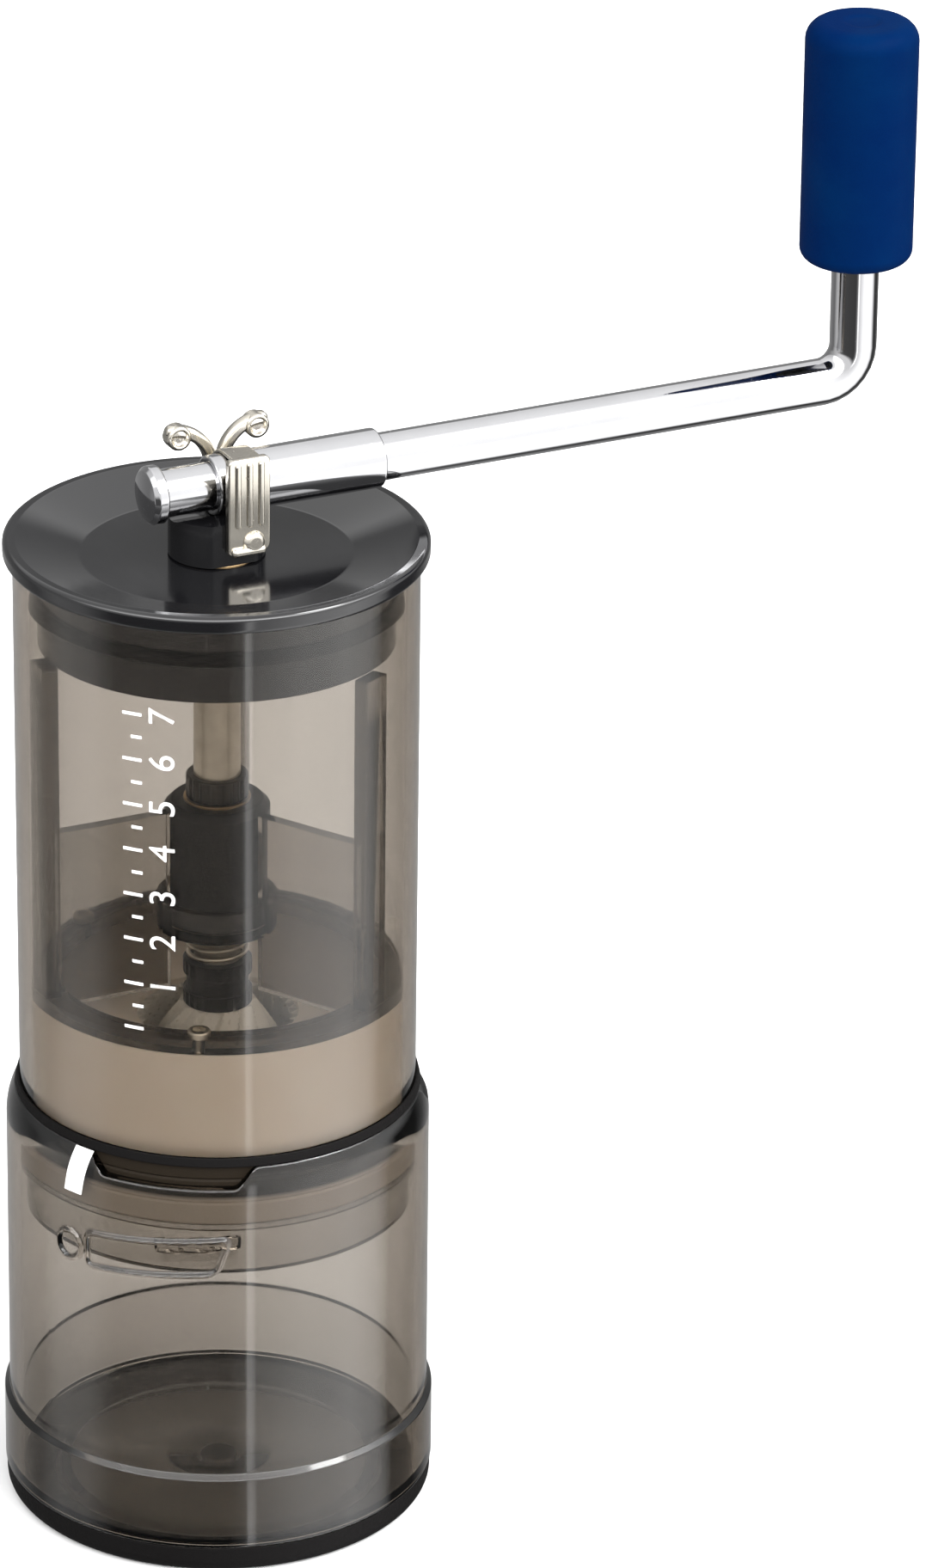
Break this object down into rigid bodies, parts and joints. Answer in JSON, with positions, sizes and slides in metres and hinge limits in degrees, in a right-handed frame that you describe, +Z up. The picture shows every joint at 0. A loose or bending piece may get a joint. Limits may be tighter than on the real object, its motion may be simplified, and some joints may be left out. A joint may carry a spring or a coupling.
{
  "type": "manual coffee grinder",
  "caption": "Hand coffee grinder: a clear cup and bean hopper that lock together, conical burrs inside, and a lid with a sliding crank arm and a grip that spins.",
  "frame": {"origin": "centre of the flat base, on the surface the grinder stands on", "axes": "+Z up along the axis that the shaft, burrs, hopper and cup share; +X along the crank arm, from the shaft towards the grip"},
  "size_m": [0.1629, 0.0728, 0.2453],
  "materials": {
    "smoke_plastic": "clear smoke-tinted plastic, polished",
    "smoke_brown_plastic": "clear smoke-brown plastic, polished",
    "black_gloss": "moulded, glossy",
    "black_matte": "moulded, satin",
    "black_rubber": "soft, satin",
    "cream_plastic": "moulded, satin",
    "burr_ceramic": "fired, unglazed",
    "bush_bronze": "turned",
    "shaft_steel": "turned, fine brushed",
    "arm_chrome": "polished",
    "clamp_nickel": "nickel plated, satin",
    "blue_grip": "soft touch, satin"
  },
  "bodies": {
    "cup": {"foot_ring": "black_rubber", "centre_foot": "black_rubber", "cup": "smoke_plastic"},
    "seal": {"seal_ring": "black_rubber"},
    "hopper": {"hopper_shell": "smoke_brown_plastic", "collar_gasket": "black_rubber", "burr_housing": "cream_plastic", "ring_burr": "burr_ceramic", "clamp_ring": "cream_plastic", "clamp_screws": "shaft_steel", "shaft_bridge": "smoke_brown_plastic", "bridge_screws": "shaft_steel", "bearing_sleeve": "black_matte", "upper_bush": "bush_bronze", "lower_bush": "bush_bronze", "thrust_washer": "shaft_steel"},
    "lid": {"lid": "black_gloss", "lid_seal": "black_rubber", "lid_bush": "bush_bronze"},
    "crank": {"crank_hub": "black_gloss", "hub_clip": "shaft_steel", "arm_sleeve": "arm_chrome", "clamp_strap": "clamp_nickel", "strap_rivet": "clamp_nickel"},
    "wing_lifter": {"wing_washer": "clamp_nickel"},
    "wing": {"wing_screw": "clamp_nickel"},
    "rod": {"arm_rod": "arm_chrome", "end_stop": "arm_chrome", "knob_washer": "shaft_steel", "knob_screw": "shaft_steel"},
    "knob": {"knob_core": "black_matte", "knob_grip": "blue_grip"},
    "shaft": {"drive_shaft": "shaft_steel", "shaft_collar": "shaft_steel"},
    "burr": {"inner_burr": "burr_ceramic", "burr_driver": "black_matte", "burr_spring": "shaft_steel"},
    "nut": {"adjust_nut": "black_matte"}
  },
  "joints": [
    {"name": "lock_turn", "type": "hinge", "parent": "cup", "child": "seal", "pos_m": [0, 0, 0.075], "axis": [0, 0, 1], "range_deg": [0, 60]},
    {"name": "lock_lift", "type": "slide", "parent": "seal", "child": "hopper", "axis": [0, 0, 1], "range_m": [0, 0.00301]},
    {"name": "lid_lift", "type": "slide", "parent": "hopper", "child": "lid", "axis": [0, 0, 1], "range_m": [0, 0.025]},
    {"name": "crank_turn", "type": "hinge", "parent": "lid", "child": "crank", "pos_m": [0, 0, 0.1704], "axis": [0, 0, 1], "continuous": true},
    {"name": "shaft_turn", "type": "hinge", "parent": "hopper", "child": "shaft", "pos_m": [0, 0, 0.12], "axis": [0, 0, 1], "continuous": true},
    {"name": "burr_adjust", "type": "slide", "parent": "shaft", "child": "burr", "axis": [0, 0, 1], "range_m": [-0.0021, 0], "deforming": ["burr_spring"]},
    {"name": "adjust_turn", "type": "hinge", "parent": "burr", "child": "nut", "pos_m": [0, 0, 0.0677], "axis": [0, 0, 1], "range_deg": [0, 1080.5]},
    {"name": "wing_lift", "type": "slide", "parent": "crank", "child": "wing_lifter", "axis": [0, 0, 1], "range_m": [0, 0.0007]},
    {"name": "wing_turn", "type": "hinge", "parent": "wing_lifter", "child": "wing", "pos_m": [0.0035, 0.008, 0.182], "axis": [0, 0, 1], "range_deg": [0, 360.5]},
    {"name": "rod_slide", "type": "slide", "parent": "crank", "child": "rod", "axis": [1, 0, 0], "range_m": [-0.077, 0.0085]},
    {"name": "knob_spin", "type": "hinge", "parent": "rod", "child": "knob", "pos_m": [0.117, 0, 0.2244], "axis": [0, 0, 1], "continuous": true}
  ],
  "couplings": [
    {"joint": "lock_lift", "follows": "lock_turn", "m_per_rad": 0.0028648},
    {"joint": "shaft_turn", "follows": "crank_turn", "ratio": 1},
    {"joint": "adjust_turn", "follows": "burr_adjust", "rad_per_m": -8976},
    {"joint": "wing_turn", "follows": "wing_lift", "rad_per_m": 8976}
  ]
}
